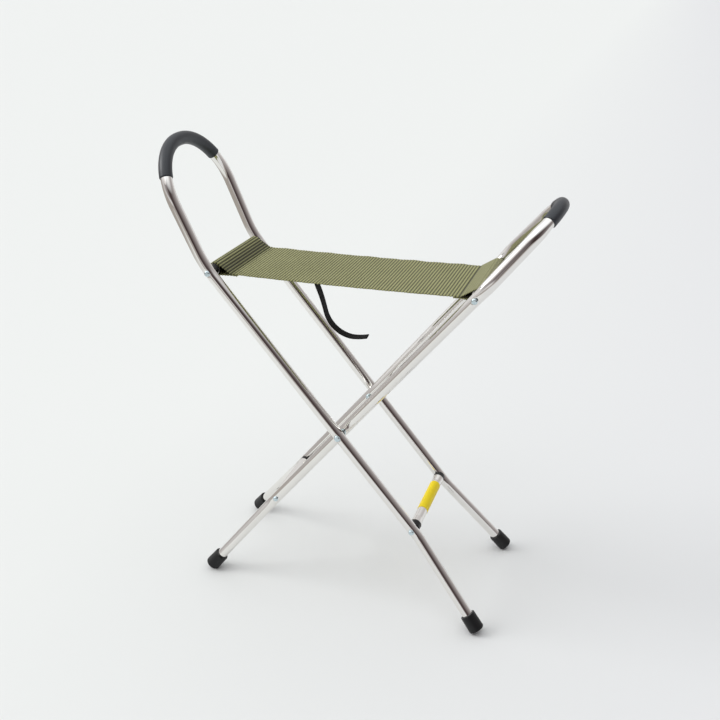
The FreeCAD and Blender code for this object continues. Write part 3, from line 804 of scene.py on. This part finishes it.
def stitches(name, rows):
    """One piece of thread for several rows of stitches."""
    points, faces = [], []
    for start, end in rows:
        row_points, row_faces = stitch_row(np.array(start), np.array(end))
        base = sum(len(part) for part in points)
        faces += [[base + corner for corner in face] for face in row_faces]
        points.append(row_points)
    piece = put_mesh(name, np.concatenate(points), faces)
    piece.data.materials.append(THREAD)
    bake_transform(piece)


def seam_rows(side):
    """The thread over and under a sleeve's seam."""
    x, z = seam_place(side)
    over = z + CLOTH_THICKNESS / 2 + RIB_HEIGHT - SEAM_PULL
    beneath = z - 1.5 * CLOTH_THICKNESS - 3 * RIB_HEIGHT
    ends = (CLOTH_FRONT + STITCH_INSET, CLOTH_REAR - STITCH_INSET)
    return [[(x, y, height) for y in ends] for height in (over, beneath)]


stitches("seam_stitches", seam_rows("outer") + seam_rows("inner"))
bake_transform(cloth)


# The strap and the patch that sews it to the cloth.


def patch():
    """A folded square of the seat's cloth under the panel, round-edged, with a box of stitches."""
    left, right = seam_place("outer")[0], seam_place("inner")[0]
    middle = PIVOT[0] + STRAP_ROUTE[0][0]
    half = PATCH_THICKNESS / 2
    places = np.linspace(middle - PATCH_LENGTH / 2, middle + PATCH_LENGTH / 2, PATCH_ROWS)
    line = panel_line((places - left) / (right - left))
    panel, outward, sideways = lying_strip(line, STRAP_ACROSS)
    spine = panel - outward * (CLOTH_THICKNESS / 2 + RIB_HEIGHT + half)
    ring = rounded_strip(PATCH_WIDTH, PATCH_THICKNESS, across_count=12, edge_count=5)
    # The two ends are rounded as its edges are, from a thin first ring.
    end = np.minimum(places - places[0], places[-1] - places)
    swell = np.sqrt(1 - (1 - np.clip(end / half, 0.05, 1)) ** 2)
    points = carried_points(spine, outward, sideways, ring[:, 0], ring[:, 1] * swell[:, None])
    painted_shade = [("painted_shade", np.zeros((len(line), len(ring))))]
    attributes = strip_places(walked(line), ring) + painted_shade
    piece = put_mesh("strap_cloth_patch", points, carried_faces(*points.shape[:2]), attributes)
    piece.data.materials.append(CLOTH)
    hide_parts("strap_patch")
    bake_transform(piece)
    low = spine[:, 2].min() - half
    long, wide = PATCH_LENGTH / 2 - STITCH_INSET, PATCH_WIDTH / 2 - STITCH_INSET
    corners = [
        (middle + long * x, STRAP_ACROSS + wide * y, low)
        for x, y in ((-1, -1), (1, -1), (1, 1), (-1, 1))
    ]
    stitches("patch_stitches", list(zip(corners, corners[1:] + corners[:1])))


patch()


def route_points(route):
    """Points along the smooth line whose control points are the route's."""
    curve = bpy.data.curves.new("strap_line", "CURVE")
    curve.dimensions = "3D"
    spline = curve.splines.new("NURBS")
    spline.points.add(len(route) - 1)
    for point, place in zip(spline.points, route):
        point.co = (*place, 1.0)
    spline.order_u = 3
    spline.use_endpoint_u = True
    spline.resolution_u = 24
    holder = bpy.data.objects.new("strap_line", curve)
    mesh = bpy.data.meshes.new_from_object(holder)
    points = np.array([vertex.co for vertex in mesh.vertices])
    bpy.data.objects.remove(holder)
    bpy.data.curves.remove(curve)
    bpy.data.meshes.remove(mesh)
    return points


def strap():
    """Webbing carried along its route. Returns the piece, its middle line and its length."""
    route = [(PIVOT[0] + x, STRAP_ACROSS, z) for x, z in STRAP_ROUTE]
    line = evenly(route_points(route), STRAP_ROWS)
    along = walked(line)
    shares, degrees = zip(*STRAP_TWIST)
    twist = np.radians(np.interp(along / along[-1], shares, degrees))
    evened = np.ones(2 * TWIST_EVENED + 1) / (2 * TWIST_EVENED + 1)
    twist = np.convolve(np.pad(twist, TWIST_EVENED, mode="edge"), evened, "valid")
    step = headings(line)
    across = np.array([0.0, 1.0, 0.0])
    square = np.cross(step, across)
    sideways = np.cos(twist)[:, None] * across - np.sin(twist)[:, None] * square
    outward = np.cross(step, sideways)
    ring = rounded_strip(STRAP_WIDTH, STRAP_THICKNESS, across_count=11, edge_count=3)
    points = carried_points(line, outward, sideways, ring[:, 0], ring[:, 1])
    faces = carried_faces(*points.shape[:2])
    piece = put_mesh("closure_strap_webbing", points, faces, strip_places(along, ring))
    return piece, line, along[-1]


webbing, strap_line, strap_length = strap()
webbing.data.materials.append(WEBBING)
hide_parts("closure_strap")
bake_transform(webbing)


# Floor, light and camera.


FLOOR_HALF = 40.0
# X over which the floor gets a shade darker: painted falloff of the light toward the right.
PAINTED_FALLOFF_RUN = (-0.5, 0.7)
# Where the pale table ends on the left and in front, in what the polished tubes mirror.
TABLE_LEFT = (-1.25, -0.85)
TABLE_FRONT = (-3.2, -2.0)


def floor():
    """A plain pale floor, a shade darker to the right by painted light falloff. Mirrored, it is dark past the
    table.
    """
    corners = [(-1, -1, 0), (1, -1, 0), (1, 1, 0), (-1, 1, 0)]
    points = FLOOR_HALF * np.array(corners)
    piece = put_mesh("studio_floor", points, [[0, 1, 2, 3]], smooth=False)
    material, tree, shader, where = new_finish("pale_studio_floor", Roughness=0.9)
    parts = add(tree, "ShaderNodeSeparateXYZ", {0: where}).outputs
    past_left = spread(tree, parts["X"], 1.0, 0.0, *TABLE_LEFT)
    past_front = spread(tree, parts["Y"], 1.0, 0.0, *TABLE_FRONT)
    mirrored = add(tree, "ShaderNodeLightPath").outputs["Is Glossy Ray"]
    dim = sums(tree, "MULTIPLY", mirrored, sums(tree, "MAXIMUM", past_left, past_front))
    # Painted light falloff: the paper colour gets a shade darker to the right.
    shade = spread(tree, parts["X"], 0.0, 1.0, *PAINTED_FALLOFF_RUN)
    paper_with_painted_falloff = blend_colours(tree, shade, paint("E2E4E2"), paint("DADBDC"))
    colour = blend_colours(tree, dim, paper_with_painted_falloff, paint("A09A94"))
    tree.links.new(colour, shader.inputs["Base Color"])
    shader.inputs["Specular IOR Level"].default_value = 0.1
    piece.data.materials.append(material)


# The studio that the polished tubes mirror: compass angles in degrees, each with a grey from 0 to
# 255, for the low band and for the walls over it.
LOW_WALLS = [
    (-180, 180), (-160, 192), (-140, 210), (-112, 214), (-95, 235), (-86, 228),
    (-77, 140), (-68, 66), (-48, 68), (-35, 108), (-10, 150), (20, 185),
    (45, 208), (60, 232), (90, 240), (140, 222), (165, 190), (180, 180),
]
HIGH_WALLS = [
    (-180, 244), (-165, 244), (-150, 232), (-137, 190), (-120, 158), (-100, 140),
    (-85, 96), (-70, 68), (-50, 80), (-22, 124), (5, 150), (34, 176),
    (70, 206), (100, 218), (130, 238), (158, 252), (180, 244),
]
# How much less green and blue than red a wall has, as a share of how far it is from white.
WALL_WARMTH = 0.06
# The sines of the angles over the floor where the low band turns into the walls, 6 to 15 degrees,
# and the walls into the ceiling, 33 to 57 degrees.
WALL_STEP = (0.10, 0.26)
CEILING_HEIGHT = (0.54, 0.84)
CEILING_LIGHT = (1.19, 1.21, 1.23, 1.0)


def wall_colours(sky, turn, walls):
    """A ramp of warm greys round the compass."""
    ramp = add(sky, "ShaderNodeValToRGB", {"Fac": turn})
    stops = ramp.color_ramp.elements
    while len(stops) < len(walls):
        stops.new(1.0)
    for stop, (compass, level) in zip(stops, walls):
        stop.position = (compass + 180) / 360
        shade = round((255 - level) * WALL_WARMTH)
        stop.color = paint("%02X%02X%02X" % (level, level - shade, level - shade))
    return ramp.outputs["Color"]


def studio():
    """Light from all round: a low band, walls and a ceiling. The camera sees one pale colour."""
    world = bpy.data.worlds.new("soft_studio")
    bpy.context.scene.world = world
    world.use_nodes = True
    sky = world.node_tree
    sky.nodes.clear()
    toward = add(sky, "ShaderNodeTexCoord").outputs["Generated"]
    parts = add(sky, "ShaderNodeSeparateXYZ", {0: toward}).outputs
    angle = sums(sky, "ARCTAN2", parts["Y"], parts["X"])
    turn = spread(sky, angle, 0.0, 1.0, -math.pi, math.pi)
    low, high = wall_colours(sky, turn, LOW_WALLS), wall_colours(sky, turn, HIGH_WALLS)
    walls = blend_colours(sky, spread(sky, parts["Z"], 0.0, 1.0, *WALL_STEP), low, high)
    overhead = spread(sky, parts["Z"], 0.0, 1.0, *CEILING_HEIGHT)
    light = blend_colours(sky, overhead, walls, CEILING_LIGHT)
    lit = add(sky, "ShaderNodeBackground", {"Color": light, "Strength": 1.0})
    backdrop = add(sky, "ShaderNodeBackground", {"Color": paint("EDEFEF"), "Strength": 1.0})
    seen = add(sky, "ShaderNodeLightPath").outputs["Is Camera Ray"]
    either = add(sky, "ShaderNodeMixShader", {0: seen, 1: lit.outputs[0], 2: backdrop.outputs[0]})
    add(sky, "ShaderNodeOutputWorld", {"Surface": either.outputs[0]})


def soft_light(name, toward, strength, spread_angle):
    """A far soft light whose middle is in a direction."""
    light = bpy.data.lights.new(name, "SUN")
    light.energy = strength
    light.angle = math.radians(spread_angle)
    lamp = bpy.data.objects.new(name, light)
    lamp.rotation_euler = Vector(toward).to_track_quat("Z", "Y").to_euler()
    bpy.context.scene.collection.objects.link(lamp)


floor()
studio()
soft_light("overhead_softbox", (-0.5, -0.5, 1.0), 0.35, 60)
soft_light("left_softbox", (-0.85, -0.2, 0.6), 1.1, 30)

# The photograph's camera, as fitted: place, turns in radians, and a 45 mm lens on a 36 mm sensor.
CAMERA_PLACE = (0.39404, -1.13758, 0.90175)
CAMERA_YAW = 0.334929
CAMERA_PITCH = 0.423177
CAMERA_ROLL = -0.009418
lens = bpy.data.cameras.new("photograph_view")
lens.sensor_width = 36.0
lens.sensor_fit = "HORIZONTAL"
lens.lens = 45.0
lens.clip_end = 200.0
eye = bpy.data.objects.new("photograph_view", lens)
eye.matrix_world = (
    Matrix.Translation(CAMERA_PLACE)
    @ Matrix.Rotation(CAMERA_YAW, 4, "Z")
    @ Matrix.Rotation(math.pi / 2 - CAMERA_PITCH, 4, "X")
    @ Matrix.Rotation(CAMERA_ROLL, 4, "Z")
)
bpy.context.scene.collection.objects.link(eye)
bpy.context.scene.camera = eye
bpy.context.scene.view_settings.view_transform = "Standard"
